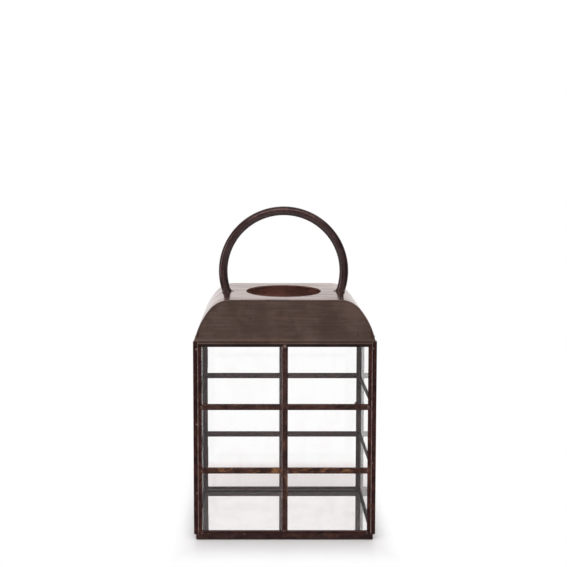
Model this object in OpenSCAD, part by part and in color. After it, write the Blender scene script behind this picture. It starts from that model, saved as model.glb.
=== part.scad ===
// Glazed candle lantern of dark burnished sheet: four walls of panes held in soldered cames,
// a rear wall that swings as the door, a bent roof with a round chimney hole and a bow handle.
// Millimetres. X runs to the right, Y to the back and Z up from the middle of the underside.

/* [Body] */
// Width over the two side walls
body_w = 200; // [160:1:260]
// Depth from the front wall's face to the door's face
body_d = 125; // [105:1:200]
// Height of the four walls
wall_h = 214.9; // [150:0.1:320]

/* [Cames] */
// Thickness of every came, across the glass
came_t = 4; // [3.4:0.1:5]
// Sight width of the upright border cames of the three fixed walls
stile_face = 5.1; // [3.6:0.1:8]
// Sight width of the door's two upright border cames
door_stile_face = 3.2; // [3.2:0.1:8]
// Sight width of the level border cames
rail_face = 3.4; // [3.2:0.1:8]
// Sight width of the two cames that carry the roof's end plates
head_face = 6; // [5.6:0.1:9]
// Sight width of the glazing bars
bar_face = 6.4; // [4.6:0.1:9]
// Sight width of the upright came between the two columns of panes
mullion_face = 6.7; // [4.6:0.1:10]
// Radius on the long edges of a came
came_round = 1.1; // [0.4:0.1:1.2]

/* [Glass] */
// Thickness of a pane
glass_t = 2; // [1.6:0.1:2.2]
// Side of the glass that a came covers
glass_seat = 1.4; // [1:0.1:1.5]
// Room for putty beside the glass and under its edge
putty_gap = 0.15; // [0.1:0.05:0.25]

/* [Base] */
// Height of the tray that the walls stand on
tray_h = 7.6; // [7:0.1:14]
// Distance from the walls' outer face in to the tray's side
tray_inset = 2.1; // [1.8:0.1:3]
// Radius on the tray's corners and lower edge
tray_round = 1.6; // [1.6:0.1:4]
// Thickness of the mirror in the tray, with its backing board
mirror_t = 4.6; // [2:0.1:6]
// Gap between the mirror plate and the bend inside the tray
mirror_gap = 0.4; // [0.2:0.1:1]

/* [Roof] */
// Thickness of all sheet metal
sheet_t = 1; // [0.8:0.1:1.2]
// Rise of the roof over the walls
roof_rise = 46; // [38:0.1:60]
// Radius of the bend beside the flat top
shoulder_r = 29; // [22:0.5:36]
// Radius of the cheek below that bend
cheek_r = 79; // [70:0.5:110]
// Metal left on the flat top beside the chimney hole
chimney_land = 15.9; // [12:0.1:30]
// Stand of the roof sheet's rim in front of its end plates
rim_stand = 0.5; // [0.2:0.1:0.9]

/* [Handle] */
// Diameter of the handle's bar
handle_bar_d = 10.2; // [6:0.1:12]
// Distance from the end of the flat top out to the middle of a leg
leg_out = 6.6; // [2:0.1:8]
// Height of the bow's centre over the roof
bow_lift = 23; // [15:0.1:30]
// Length of the bar's end below the roof sheet
tail_l = 4; // [2.5:0.1:8]

/* [Door] */
// Gap all round the door
door_gap = 0.5; // [0.4:0.1:0.9]
// Length of a hinge
hinge_l = 24; // [15:0.5:40]
// Outer radius of a hinge's knuckle
knuckle_r = 1.8; // [1.6:0.1:2.4]
// Radius of a hinge pin
hinge_pin_r = 0.9; // [0.7:0.05:1.1]
// Running clearance round a pin
pin_clear = 0.05; // [0.02:0.01:0.1]
// Length of the turn button from its rivet to its tip
button_l = 7; // [6:0.1:10]
// Width of the turn button
button_w = 4; // [3.4:0.1:5]
// Diameter of the knob on the door
knob_d = 6; // [4:0.1:8]

/* [Hidden] */

// How finely round edges are drawn
fine = 96;
edge_fine = 32;

// Extra length of a cut past the face that it leaves
overrun = 1;
// Seam between two soldered pieces that only touch along a curve
seam = 0.1;

// Heights
wall_z = tray_h;
wall_top = wall_z + wall_h;
roof_top = wall_top + roof_rise;

// Levels of the glazing bars, as shares of the walls' height. The door's upper bar sits a little high.
lower_bar_share = 0.3314;
upper_bar_share = 0.6621;
door_lower_bar_share = 0.3324;
door_upper_bar_share = 0.6766;
fixed_shares = [lower_bar_share, upper_bar_share];

// Middle planes of the four walls
side_x = body_w / 2 - came_t / 2;
front_y = -body_d / 2 + came_t / 2;
door_y = body_d / 2 - came_t / 2;
inner_w = body_w - 2 * came_t;
inner_d = body_d - 2 * came_t;

// Groove in a came
groove_w = glass_t + 2 * putty_gap;
groove_depth = glass_seat + putty_gap;

// Roof outline: a flat top, a tight shoulder and a wide cheek that stands on the side walls
shoulder_turn = 50;
cheek_run = roof_rise - shoulder_r * (1 - cos(shoulder_turn));
cheek_turn = acos(cos(shoulder_turn) - cheek_run / cheek_r);
foot_x = side_x + sheet_t / 2;
flat_x = foot_x - shoulder_r * sin(shoulder_turn)
    - cheek_r * (sin(cheek_turn) - sin(shoulder_turn));
shoulder_c = [flat_x, roof_top - shoulder_r];
cheek_c = shoulder_c - (cheek_r - shoulder_r) * [sin(shoulder_turn), cos(shoulder_turn)];
plate_y = body_d / 2 - came_t / 2;
roof_y = plate_y + sheet_t / 2 + rim_stand;
plate_groove_w = sheet_t + 2 * putty_gap;
plate_groove_depth = 1.8;
plate_tongue_w = inner_w - 2 * glass_seat;

// Chimney hole
chimney_r = flat_x - chimney_land;

// Handle
leg_x = flat_x + leg_out;
bow_z = roof_top + bow_lift;
bow_r = sqrt(pow(leg_x, 2) + pow(bow_lift, 2));
tail_turn = asin((bow_lift + sheet_t + tail_l) / bow_r);
leg_lean = asin(bow_lift / bow_r);
braze_foot = 1.3;
braze_lip = 0.4;
braze_r = handle_bar_d / 2 + braze_foot;
braze_top_r = handle_bar_d / 2 + braze_lip;
braze_h = 1;
braze_drop = 4;

// Door, which hangs at the left and is latched at the right
door_z = wall_z + door_gap;
door_top = wall_top - head_face - door_gap;
door_w = inner_w - 2 * door_gap;
hinge_x = -inner_w / 2 + door_gap / 2;
hinge_y = body_d / 2 + knuckle_r + seam;
leaf_t = 0.8;
leaf_w = 3.6;
leaf_clear = 0.2;
hinge_inset = 30;
hinge_zs = [door_z + hinge_inset, door_top - hinge_inset - hinge_l];
pin_head_lip = 0.7;
pin_head_r = hinge_pin_r + pin_head_lip;
pin_head_h = 0.8;
knuckle_clear = 0.2;
knob_neck_r = 1.2;
knob_neck_l = 2.2;
knob_share = 0.5;
knob_z = wall_z + knob_share * wall_h;
button_share = 0.62;
button_z = wall_z + button_share * wall_h;
button_t = 0.8;
button_gap = 0.3;
rivet_r = 0.8;
rivet_head_r = 1.6;
rivet_head_h = 0.7;
rivet_depth = 1.6;
stop_w = 20;
stop_t = 0.8;
stop_reach = 3;

// Bar levels of a wall, from its own shares
function bar_z(share) = wall_z + share * wall_h;

metal = "#4a3833";
worn_metal = "#6b574f";
clear_glass = [0.85, 0.92, 0.93, 0.35];

// Rectangle with round corners, standing on its lower left corner
module soft_rect(w, h, r) {
    translate([r, 0])
        square([w - 2 * r, h]);
    translate([0, r])
        square([w, h - 2 * r]);
    for (x = [r, w - r], y = [r, h - r])
        translate([x, y])
            circle(r, $fn = edge_fine);
}

// Section of a came: x runs across its face, y through its thickness.
// It grips the glass on its far side, and on its near side too if it is a glazing bar.
module came_section(face, both_sides) {
    difference() {
        translate([0, -came_t / 2])
            soft_rect(face, came_t, came_round);
        translate([face - groove_depth, -groove_w / 2])
            square([groove_depth + overrun, groove_w]);
        if (both_sides)
            translate([-overrun, -groove_w / 2])
                square([groove_depth + overrun, groove_w]);
    }
}

// Upright came from z = low to z = high, in a wall whose width runs along X
module upright_came(x, low, high, face, both_sides = false) {
    translate([x, 0, low])
        linear_extrude(height = high - low)
            came_section(face, both_sides);
}

// Level came from x = start to x = end, with its lower edge at z
module level_came(start, end, z, face, both_sides = false) {
    translate([start, 0, z])
        rotate([90, 0, 90])
            linear_extrude(height = end - start)
                rotate(90)
                    came_section(face, both_sides);
}

// Level came that grips the glass below it, with its upper edge at z
module hanging_came(start, end, z, face) {
    translate([0, 0, z])
        mirror([0, 0, 1])
            level_came(start, end, 0, face);
}

// Pane whose visible opening runs from x0 to x1 and from z0 to z1
module pane(x0, x1, z0, z1) {
    color(clear_glass)
        translate([x0 - glass_seat, -glass_t / 2, z0 - glass_seat])
            cube([x1 - x0 + 2 * glass_seat, glass_t, z1 - z0 + 2 * glass_seat]);
}

// Left and right edge of a column of panes between stiles of a given sight width:
// side -1 is the left column and 1 the right one
function column(width, stile, side) = side < 0
    ? [stile, width / 2 - mullion_face / 2]
    : [width / 2 + mullion_face / 2, width - stile];

// Lower and upper edge of a row of panes: 0 is the lowest and 2 the highest
function row(level, low, high, shares) =
    level == 0 ? [low, bar_z(shares[0]) - bar_face / 2] :
    level == 1 ? [bar_z(shares[0]) + bar_face / 2, bar_z(shares[1]) - bar_face / 2] :
    [bar_z(shares[1]) + bar_face / 2, high];

// Pair of level bars, one on each side of the mullion
module bar_pair(width, stile, z) {
    for (side = [-1, 1])
        let (x = column(width, stile, side))
            level_came(x[0], x[1], z - bar_face / 2, bar_face, true);
}

// Places for the four walls: inside each, X runs along the wall and Y through it
module in_front_wall() {
    translate([-inner_w / 2, front_y, 0])
        children();
}

module in_door() {
    translate([-door_w / 2, door_y, 0])
        children();
}

// A side wall's X starts at its front edge
module in_side_wall(side) {
    translate([side * side_x, -body_d / 2, 0])
        rotate([0, 0, 90])
            children();
}

// The sill of each fixed wall and the lower rail of the door
fixed_low = wall_z + rail_face;
fixed_high = wall_top - rail_face;
front_high = wall_top - head_face;
door_low = door_z + rail_face;
door_high = door_top - rail_face;

// Block with round corners and a round lower edge, its flat underside at z = 0
module tray_block(x, y, h, r) {
    translate([-x / 2 + r, -y / 2 + r, 0])
        cube([x - 2 * r, y - 2 * r, h]);
    translate([-x / 2, -y / 2 + r, r])
        cube([x, y - 2 * r, h - r]);
    translate([-x / 2 + r, -y / 2, r])
        cube([x - 2 * r, y, h - r]);
    for (sx = [-1, 1], sy = [-1, 1])
        translate([sx * (x / 2 - r), sy * (y / 2 - r), r]) {
            sphere(r, $fn = edge_fine);
            cylinder(h = h - r, r = r, $fn = edge_fine);
        }
    for (sx = [-1, 1])
        translate([sx * (x / 2 - r), y / 2 - r, r])
            rotate([90, 0, 0])
                cylinder(h = y - 2 * r, r = r, $fn = edge_fine);
    for (sy = [-1, 1])
        translate([-x / 2 + r, sy * (y / 2 - r), r])
            rotate([0, 90, 0])
                cylinder(h = x - 2 * r, r = r, $fn = edge_fine);
}

tray_x = body_w - 2 * tray_inset;
tray_y = body_d - 2 * tray_inset;
tray_bend = tray_round - sheet_t;

// Folded tray with an upstand all round
module base_tray() {
    color(metal)
        difference() {
            tray_block(tray_x, tray_y, tray_h, tray_round);
            translate([0, 0, sheet_t])
                tray_block(tray_x - 2 * sheet_t, tray_y - 2 * sheet_t, tray_h + overrun, tray_bend);
        }
}

// Mirror that lies in the tray and carries the candle
module mirror_plate() {
    margin = sheet_t + tray_bend + mirror_gap;
    mirror_x = tray_x - 2 * margin;
    mirror_y = tray_y - 2 * margin;
    color("#d9d9d8")
        translate([-mirror_x / 2, -mirror_y / 2, sheet_t])
            linear_extrude(height = mirror_t)
                soft_rect(mirror_x, mirror_y, tray_bend);
}

// Front wall
module front_left_stile() {
    color(metal)
        in_front_wall()
            upright_came(0, wall_z, front_high, stile_face);
}

module front_right_stile() {
    color(metal)
        mirror([1, 0, 0])
            in_front_wall()
                upright_came(0, wall_z, front_high, stile_face);
}

// Head came that grips the panes below it and the roof's end plate above it
module head_came() {
    difference() {
        hanging_came(0, inner_w, wall_top, head_face);
        translate([glass_seat / 2, -plate_groove_w / 2, wall_top - plate_groove_depth])
            cube([inner_w - glass_seat, plate_groove_w, plate_groove_depth + overrun]);
    }
}

module front_head_rail() {
    color(metal)
        in_front_wall()
            head_came();
}

module front_sill_rail() {
    color(metal)
        in_front_wall()
            level_came(stile_face, inner_w - stile_face, wall_z, rail_face);
}

module front_mullion() {
    color(metal)
        in_front_wall()
            upright_came(inner_w / 2 - mullion_face / 2, fixed_low, front_high, mullion_face, true);
}

module front_upper_bars() {
    color(metal)
        in_front_wall()
            bar_pair(inner_w, stile_face, bar_z(upper_bar_share));
}

module front_lower_bars() {
    color(metal)
        in_front_wall()
            bar_pair(inner_w, stile_face, bar_z(lower_bar_share));
}

module front_pane(side, level) {
    x = column(inner_w, stile_face, side);
    z = row(level, fixed_low, front_high, fixed_shares);
    in_front_wall()
        pane(x[0], x[1], z[0], z[1]);
}

// Side walls, three panes high
module side_stile(side, at_rear) {
    color(metal)
        in_side_wall(side)
            translate([at_rear ? body_d : 0, 0, 0])
                mirror([at_rear ? 1 : 0, 0, 0])
                    upright_came(0, wall_z, wall_top, stile_face);
}

module side_top_rail(side) {
    color(metal)
        in_side_wall(side)
            hanging_came(stile_face, body_d - stile_face, wall_top, rail_face);
}

module side_sill_rail(side) {
    color(metal)
        in_side_wall(side)
            level_came(stile_face, body_d - stile_face, wall_z, rail_face);
}

module side_bar(side, share) {
    color(metal)
        in_side_wall(side)
            level_came(stile_face, body_d - stile_face, bar_z(share) - bar_face / 2, bar_face, true);
}

module side_pane(side, level) {
    z = row(level, fixed_low, fixed_high, fixed_shares);
    in_side_wall(side)
        pane(stile_face, body_d - stile_face, z[0], z[1]);
}

// The right rear stile has a blind bore for the turn button's rivet
module right_rear_stile() {
    difference() {
        side_stile(1, true);
        translate([side_x, body_d / 2 + overrun, button_z])
            rotate([90, 0, 0])
                cylinder(h = rivet_depth + overrun, r = rivet_r + pin_clear, $fn = edge_fine);
    }
}

// Fixed came over the door, with the roof's rear plate in its upper groove
module rear_head_rail() {
    color(metal)
        difference() {
            translate([-inner_w / 2, door_y, wall_top])
                rotate([0, 90, 0])
                    linear_extrude(height = inner_w)
                        translate([0, -came_t / 2])
                            soft_rect(head_face, came_t, came_round);
            translate([-plate_tongue_w / 2 - glass_seat / 2, plate_y - plate_groove_w / 2,
                wall_top - plate_groove_depth])
                cube([plate_tongue_w + glass_seat, plate_groove_w, plate_groove_depth + overrun]);
        }
}

// Tab inside the head came that the closed door rests against
module door_stop() {
    color(metal)
        translate([-stop_w / 2, body_d / 2 - came_t - seam - stop_t, door_top - stop_reach])
            cube([stop_w, stop_t, stop_reach + door_gap + head_face - came_round]);
}

// Door
module door_stile(mirrored) {
    color(metal)
        mirror([mirrored ? 1 : 0, 0, 0])
            in_door()
                upright_came(0, door_z, door_top, door_stile_face);
}

module door_top_rail() {
    color(metal)
        in_door()
            hanging_came(door_stile_face, door_w - door_stile_face, door_top, rail_face);
}

module door_bottom_rail() {
    color(metal)
        in_door()
            level_came(door_stile_face, door_w - door_stile_face, door_z, rail_face);
}

module door_mullion() {
    color(metal)
        in_door()
            upright_came(door_w / 2 - mullion_face / 2, door_low, door_high, mullion_face, true);
}

module door_upper_bars() {
    color(metal)
        in_door()
            bar_pair(door_w, door_stile_face, bar_z(door_upper_bar_share));
}

module door_lower_bars() {
    color(metal)
        in_door()
            bar_pair(door_w, door_stile_face, bar_z(door_lower_bar_share));
}

module door_pane(side, level) {
    x = column(door_w, door_stile_face, side);
    z = row(level, door_low, door_high, [door_lower_bar_share, door_upper_bar_share]);
    in_door()
        pane(x[0], x[1], z[0], z[1]);
}

// Three equal knuckles: the outer two belong to the post and the middle one to the door
knuckle_l = hinge_l / 3;

module knuckle(from, to) {
    translate([hinge_x, hinge_y, from])
        cylinder(h = to - from, r = knuckle_r, $fn = edge_fine);
}

module pin_bore() {
    for (z = hinge_zs)
        translate([hinge_x, hinge_y, z - overrun])
            cylinder(h = hinge_l + 2 * overrun, r = hinge_pin_r + pin_clear, $fn = edge_fine);
}

// Leaf on one side of the pin: -1 reaches over the post and 1 over the door
module leaf(side, from, to) {
    translate([side < 0 ? hinge_x - leaf_w : hinge_x, body_d / 2, from])
        cube([leaf_w, leaf_t, to - from]);
}

module hinge_post_leaves() {
    color(worn_metal)
        difference() {
            for (z = hinge_zs) {
                knuckle(z, z + knuckle_l - knuckle_clear);
                knuckle(z + 2 * knuckle_l + knuckle_clear, z + hinge_l);
                difference() {
                    leaf(-1, z, z + hinge_l);
                    translate([hinge_x - knuckle_r - leaf_clear, body_d / 2 - overrun,
                        z + knuckle_l - knuckle_clear])
                        cube([knuckle_r + leaf_clear + overrun, leaf_t + 2 * overrun,
                            knuckle_l + 2 * knuckle_clear]);
                }
            }
            pin_bore();
        }
}

module hinge_door_leaves() {
    color(worn_metal)
        difference() {
            for (z = hinge_zs) {
                knuckle(z + knuckle_l, z + 2 * knuckle_l);
                difference() {
                    leaf(1, z, z + hinge_l);
                    for (end_z = [z - overrun, z + 2 * knuckle_l])
                        translate([hinge_x - overrun, body_d / 2 - overrun, end_z])
                            cube([overrun + knuckle_r + leaf_clear, leaf_t + 2 * overrun,
                                knuckle_l + overrun]);
                }
            }
            pin_bore();
        }
}

module hinge_pins() {
    color(worn_metal)
        for (z = hinge_zs)
            translate([hinge_x, hinge_y, z]) {
                cylinder(h = hinge_l, r = hinge_pin_r, $fn = edge_fine);
                translate([0, 0, hinge_l])
                    cylinder(h = pin_head_h, r = pin_head_r, $fn = edge_fine);
            }
}

// Turned knob on the door's free stile
module door_knob() {
    knob_r = knob_d / 2;
    color(worn_metal)
        translate([door_w / 2 - door_stile_face / 2, body_d / 2, knob_z])
            rotate([-90, 0, 0])
                rotate_extrude($fn = fine) {
                    square([knob_neck_r, knob_neck_l + knob_r]);
                    translate([0, knob_neck_l + knob_r])
                        intersection() {
                            circle(knob_r, $fn = fine);
                            translate([0, -knob_r])
                                square([knob_r, 2 * knob_r]);
                        }
                }
}

button_y = body_d / 2 + button_gap;

// Turn button, hanging open below its rivet
module turn_button() {
    color(worn_metal)
        translate([side_x, button_y + button_t, button_z])
            rotate([90, 0, 0])
                difference() {
                    linear_extrude(height = button_t) {
                        circle(button_w / 2, $fn = edge_fine);
                        translate([-button_w / 2, -button_l + button_w / 2])
                            square([button_w, button_l - button_w / 2]);
                        translate([0, -button_l + button_w / 2])
                            circle(button_w / 2, $fn = edge_fine);
                    }
                    translate([0, 0, -overrun])
                        cylinder(h = button_t + 2 * overrun, r = rivet_r + pin_clear, $fn = edge_fine);
                }
}

module turn_button_rivet() {
    shank = rivet_depth + button_gap + button_t + button_gap;
    color(worn_metal)
        translate([side_x, body_d / 2 - rivet_depth, button_z])
            rotate([-90, 0, 0]) {
                cylinder(h = shank, r = rivet_r, $fn = edge_fine);
                translate([0, 0, shank])
                    cylinder(h = rivet_head_h, r = rivet_head_r, $fn = edge_fine);
            }
}

// Right half of the roof's end view, drawn in by an inset, down to below the walls' top
module half_roof_area(inset) {
    translate([0, wall_top - roof_rise])
        square([flat_x, 2 * roof_rise - inset]);
    translate(shoulder_c)
        circle(shoulder_r - inset, $fn = 2 * fine);
    intersection() {
        translate(cheek_c)
            circle(cheek_r - inset, $fn = 3 * fine);
        polygon([
            cheek_c,
            cheek_c + 2 * cheek_r * [sin(shoulder_turn), cos(shoulder_turn)],
            cheek_c + 2 * cheek_r * [1, 0],
            cheek_c - [0, cheek_r]
        ]);
    }
}

// The roof's end view, cut off level at the height low
module roof_area(inset, low) {
    intersection() {
        union() {
            half_roof_area(inset);
            mirror([1, 0])
                half_roof_area(inset);
        }
        translate([-body_w, low])
            square([2 * body_w, roof_top - low]);
    }
}

// Carries an end view along Y
module along_y(from, to) {
    translate([0, to, 0])
        rotate([90, 0, 0])
            linear_extrude(height = to - from)
                children();
}

// Bow of the handle with its two tails, swept round by the bar's section grown by extra
module bow(extra) {
    translate([0, 0, bow_z])
        rotate([90, 0, 0])
            rotate([0, 0, -tail_turn])
                rotate_extrude(angle = 180 + 2 * tail_turn, $fn = 2 * fine)
                    translate([bow_r, 0])
                        circle(handle_bar_d / 2 + extra, $fn = edge_fine);
}

// One sheet bent over the lantern, with the chimney hole and the handle's holes in its top
module roof_sheet() {
    color(metal)
        difference() {
            along_y(-roof_y, roof_y)
                difference() {
                    roof_area(0, wall_top + seam);
                    roof_area(sheet_t, wall_top);
                }
            translate([0, 0, roof_top - sheet_t - overrun])
                cylinder(h = sheet_t + 2 * overrun, r = chimney_r, $fn = fine);
            bow(pin_clear);
        }
}

// End plate soldered inside the sheet's rim, with a tongue in the head came
module roof_plate(rear) {
    color(worn_metal)
        mirror([0, rear ? 1 : 0, 0])
            along_y(-plate_y - sheet_t / 2, -plate_y + sheet_t / 2) {
                roof_area(sheet_t + seam, wall_top + seam);
                translate([-plate_tongue_w / 2, wall_top - plate_groove_depth + putty_gap])
                    square([plate_tongue_w, plate_groove_depth]);
            }
}

module handle() {
    color(worn_metal)
        bow(0);
}

// Low braze fillet round each leaning leg, on top of the roof sheet
module handle_brazes() {
    color(worn_metal)
        difference() {
            for (side = [-1, 1])
                translate([side * leg_x, 0, roof_top])
                    rotate([0, side * leg_lean, 0])
                        translate([0, 0, -braze_drop])
                            cylinder(h = braze_drop + braze_h, r1 = braze_r, r2 = braze_top_r,
                                $fn = edge_fine);
            along_y(-2 * braze_r, 2 * braze_r)
                roof_area(-seam, wall_top);
            bow(pin_clear);
        }
}

base_tray();
mirror_plate();
front_left_stile();
front_right_stile();
front_head_rail();
front_sill_rail();
front_mullion();
front_upper_bars();
front_lower_bars();
front_pane(-1, 2);  // front_pane_top_left
front_pane(1, 2);  // front_pane_top_right
front_pane(-1, 1);  // front_pane_mid_left
front_pane(1, 1);  // front_pane_mid_right
front_pane(-1, 0);  // front_pane_low_left
front_pane(1, 0);  // front_pane_low_right
side_stile(-1, false);  // left_front_stile
side_stile(-1, true);  // left_rear_stile
side_top_rail(-1);  // left_top_rail
side_sill_rail(-1);  // left_sill_rail
side_bar(-1, upper_bar_share);  // left_upper_bar
side_bar(-1, lower_bar_share);  // left_lower_bar
side_pane(-1, 2);  // left_pane_top
side_pane(-1, 1);  // left_pane_mid
side_pane(-1, 0);  // left_pane_low
side_stile(1, false);  // right_front_stile
right_rear_stile();
side_top_rail(1);  // right_top_rail
side_sill_rail(1);  // right_sill_rail
side_bar(1, upper_bar_share);  // right_upper_bar
side_bar(1, lower_bar_share);  // right_lower_bar
side_pane(1, 2);  // right_pane_top
side_pane(1, 1);  // right_pane_mid
side_pane(1, 0);  // right_pane_low
rear_head_rail();
door_stop();
door_stile(false);  // door_hinge_stile
door_stile(true);  // door_latch_stile
door_top_rail();
door_bottom_rail();
door_mullion();
door_upper_bars();
door_lower_bars();
door_pane(-1, 2);  // door_pane_top_left
door_pane(1, 2);  // door_pane_top_right
door_pane(-1, 1);  // door_pane_mid_left
door_pane(1, 1);  // door_pane_mid_right
door_pane(-1, 0);  // door_pane_low_left
door_pane(1, 0);  // door_pane_low_right
hinge_post_leaves();
hinge_door_leaves();
hinge_pins();
door_knob();
turn_button();
turn_button_rivet();
roof_sheet();
roof_plate(false);  // roof_front_plate
roof_plate(true);  // roof_rear_plate
handle();
handle_brazes();
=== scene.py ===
import math

import bmesh
import bpy
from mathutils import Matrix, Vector, noise


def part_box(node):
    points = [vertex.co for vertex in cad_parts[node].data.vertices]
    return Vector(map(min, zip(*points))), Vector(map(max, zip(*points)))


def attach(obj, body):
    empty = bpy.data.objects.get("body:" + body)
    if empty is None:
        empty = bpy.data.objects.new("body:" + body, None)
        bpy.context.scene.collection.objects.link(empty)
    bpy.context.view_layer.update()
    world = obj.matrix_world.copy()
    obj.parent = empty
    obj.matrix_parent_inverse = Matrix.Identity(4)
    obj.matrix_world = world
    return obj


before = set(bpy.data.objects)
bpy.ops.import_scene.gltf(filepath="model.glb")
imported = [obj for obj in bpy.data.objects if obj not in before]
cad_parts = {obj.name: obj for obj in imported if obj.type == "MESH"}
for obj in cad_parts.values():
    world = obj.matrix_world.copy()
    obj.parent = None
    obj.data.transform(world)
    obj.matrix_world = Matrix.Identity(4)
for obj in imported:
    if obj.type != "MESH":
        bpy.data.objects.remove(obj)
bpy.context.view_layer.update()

LOW, HIGH = 0, 1
MM = 0.001
UP = Vector((0, 0, 1))
FORWARD = Vector((0, -1, 0))
BACKWARD = Vector((0, 1, 0))
RIGHT = Vector((1, 0, 0))

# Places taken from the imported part
TRAY_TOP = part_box("base_tray")[HIGH].z
WALL_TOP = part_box("front_head_rail")[HIGH].z
ROOF_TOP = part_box("roof_sheet")[HIGH].z
FRONT_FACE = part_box("front_mullion")[LOW].y
FRONT_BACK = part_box("front_mullion")[HIGH].y
CAME = FRONT_BACK - FRONT_FACE
SIDE_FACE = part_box("right_front_stile")[HIGH].x
CORNER_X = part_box("front_right_stile")[HIGH].x
CORNER_Y = -FRONT_FACE

# Radius of the chimney hole, which no node's box gives
CHIMNEY_R = 43.37 * MM


def paint(code):
    """Linear colour of a hex code."""
    parts = [int(code[i:i + 2], 16) / 255 for i in (1, 3, 5)]
    return tuple(p / 12.92 if p < 0.04045 else ((p + 0.055) / 1.055) ** 2.4 for p in parts) + (1,)


# Shader nodes

def add(tree, kind, inputs=None, **settings):
    """A new node with its settings, and its inputs filled by values or by other nodes' sockets."""
    made = tree.nodes.new("ShaderNode" + kind)
    for key, value in settings.items():
        setattr(made, key, value)
    for key, value in (inputs or {}).items():
        if isinstance(value, bpy.types.NodeSocket):
            tree.links.new(value, made.inputs[key])
        else:
            made.inputs[key].default_value = value
    return made


def calc(tree, operation, first, second=0.0):
    return add(tree, "Math", {0: first, 1: second}, operation=operation).outputs[0]


def fade(tree, value, start, end, low=0.0, high=1.0):
    """Soft ramp: low where the value is at start, high where it is at end."""
    return add(tree, "MapRange", {0: value, 1: start, 2: end, 3: low, 4: high},
               interpolation_type="SMOOTHSTEP").outputs[0]


def blend(tree, amount, first, second):
    """The first colour where the amount is 0, the second where it is 1."""
    return add(tree, "Mix", {0: amount, 6: first, 7: second}, data_type="RGBA", blend_type="MIX").outputs[2]


def rest_place(tree):
    """Place on the piece at rest, so that a finish moves with its piece."""
    return add(tree, "TexCoord").outputs["Object"]


def stretched(tree, place, stretch):
    return add(tree, "VectorMath", {0: place, 1: stretch}, operation="MULTIPLY").outputs[0]


def mottle(tree, place, scale, detail=4.0, rough=0.55, twist=0.0):
    return add(tree, "TexNoise", {"Vector": place, "Scale": scale, "Detail": detail,
                                  "Roughness": rough, "Distortion": twist}).outputs[0]


def new_effect(name, inputs, outputs):
    """An empty shader group with its sockets: returns its tree, its inputs and its outputs."""
    tree = bpy.data.node_groups.new(name, "ShaderNodeTree")
    for label, kind, value in inputs:
        socket = tree.interface.new_socket(label, in_out="INPUT", socket_type="NodeSocket" + kind)
        socket.default_value = value
    for label, kind in outputs:
        tree.interface.new_socket(label, in_out="OUTPUT", socket_type="NodeSocket" + kind)
    return tree, tree.nodes.new("NodeGroupInput").outputs, tree.nodes.new("NodeGroupOutput").inputs


def use(tree, effect, inputs=None):
    return add(tree, "Group", inputs, node_tree=effect).outputs


# Effects that several finishes share

def make_patina():
    """Chemical brown on metal: clouds, streaks along the grain, pits, and rust, most of all round the flame."""
    streak_scale, rust_scale, pit_scale = 420, 190, 1500
    flame_top, flame_foot = (0.13, 0.09), (0.02, 0.05)
    tree, given, result = new_effect(
        "patina",
        [("Grain", "Vector", (1, 1, 1)), ("Cloud Scale", "Float", 40.0), ("Dark", "Color", (0, 0, 0, 1)),
         ("Brown", "Color", (0, 0, 0, 1)), ("Rust", "Color", (0, 0, 0, 1)), ("Rust Amount", "Float", 0.5),
         ("Contrast", "Float", 0.12), ("Shine Roughness", "Float", 0.28), ("Dull Roughness", "Float", 0.46)],
        [("Color", "Color"), ("Roughness", "Float"), ("Height", "Float")])
    place = rest_place(tree)
    along = stretched(tree, place, given["Grain"])
    clouds = mottle(tree, place, given["Cloud Scale"], detail=6, rough=0.65, twist=0.2)
    streaks = mottle(tree, along, streak_scale, detail=5, rough=0.6)
    rusty = mottle(tree, along, rust_scale, detail=6, rough=0.7, twist=0.2)
    specks = mottle(tree, place, pit_scale, detail=2)
    tone = calc(tree, "ADD", calc(tree, "MULTIPLY", clouds, 0.7), calc(tree, "MULTIPLY", streaks, 0.3))
    spread = fade(tree, tone, calc(tree, "SUBTRACT", 0.5, given["Contrast"]),
                  calc(tree, "ADD", 0.5, given["Contrast"]))
    skin = blend(tree, spread, given["Dark"], given["Brown"])
    height = add(tree, "SeparateXYZ", {0: place}).outputs["Z"]
    by_flame = calc(tree, "MULTIPLY", fade(tree, height, *flame_top), fade(tree, height, *flame_foot))
    breaks = calc(tree, "MULTIPLY", fade(tree, rusty, 0.50, 0.64),
                  calc(tree, "MULTIPLY", given["Rust Amount"], calc(tree, "ADD", 1.0, by_flame)))
    skin = blend(tree, breaks, skin, given["Rust"])
    pits = fade(tree, specks, 0.62, 0.74)
    skin = blend(tree, calc(tree, "MULTIPLY", pits, 0.45), skin, given["Dark"])
    dullness = calc(tree, "ADD", calc(tree, "SUBTRACT", 1.0, spread), calc(tree, "MULTIPLY", pits, 0.6))
    tree.links.new(skin, result["Color"])
    tree.links.new(add(tree, "MapRange", {0: dullness, 1: 0.0, 2: 1.3, 3: given["Shine Roughness"],
                                          4: given["Dull Roughness"]}).outputs[0], result["Roughness"])
    tree.links.new(calc(tree, "SUBTRACT", calc(tree, "MULTIPLY", streaks, 0.5), pits), result["Height"])
    return tree


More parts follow.
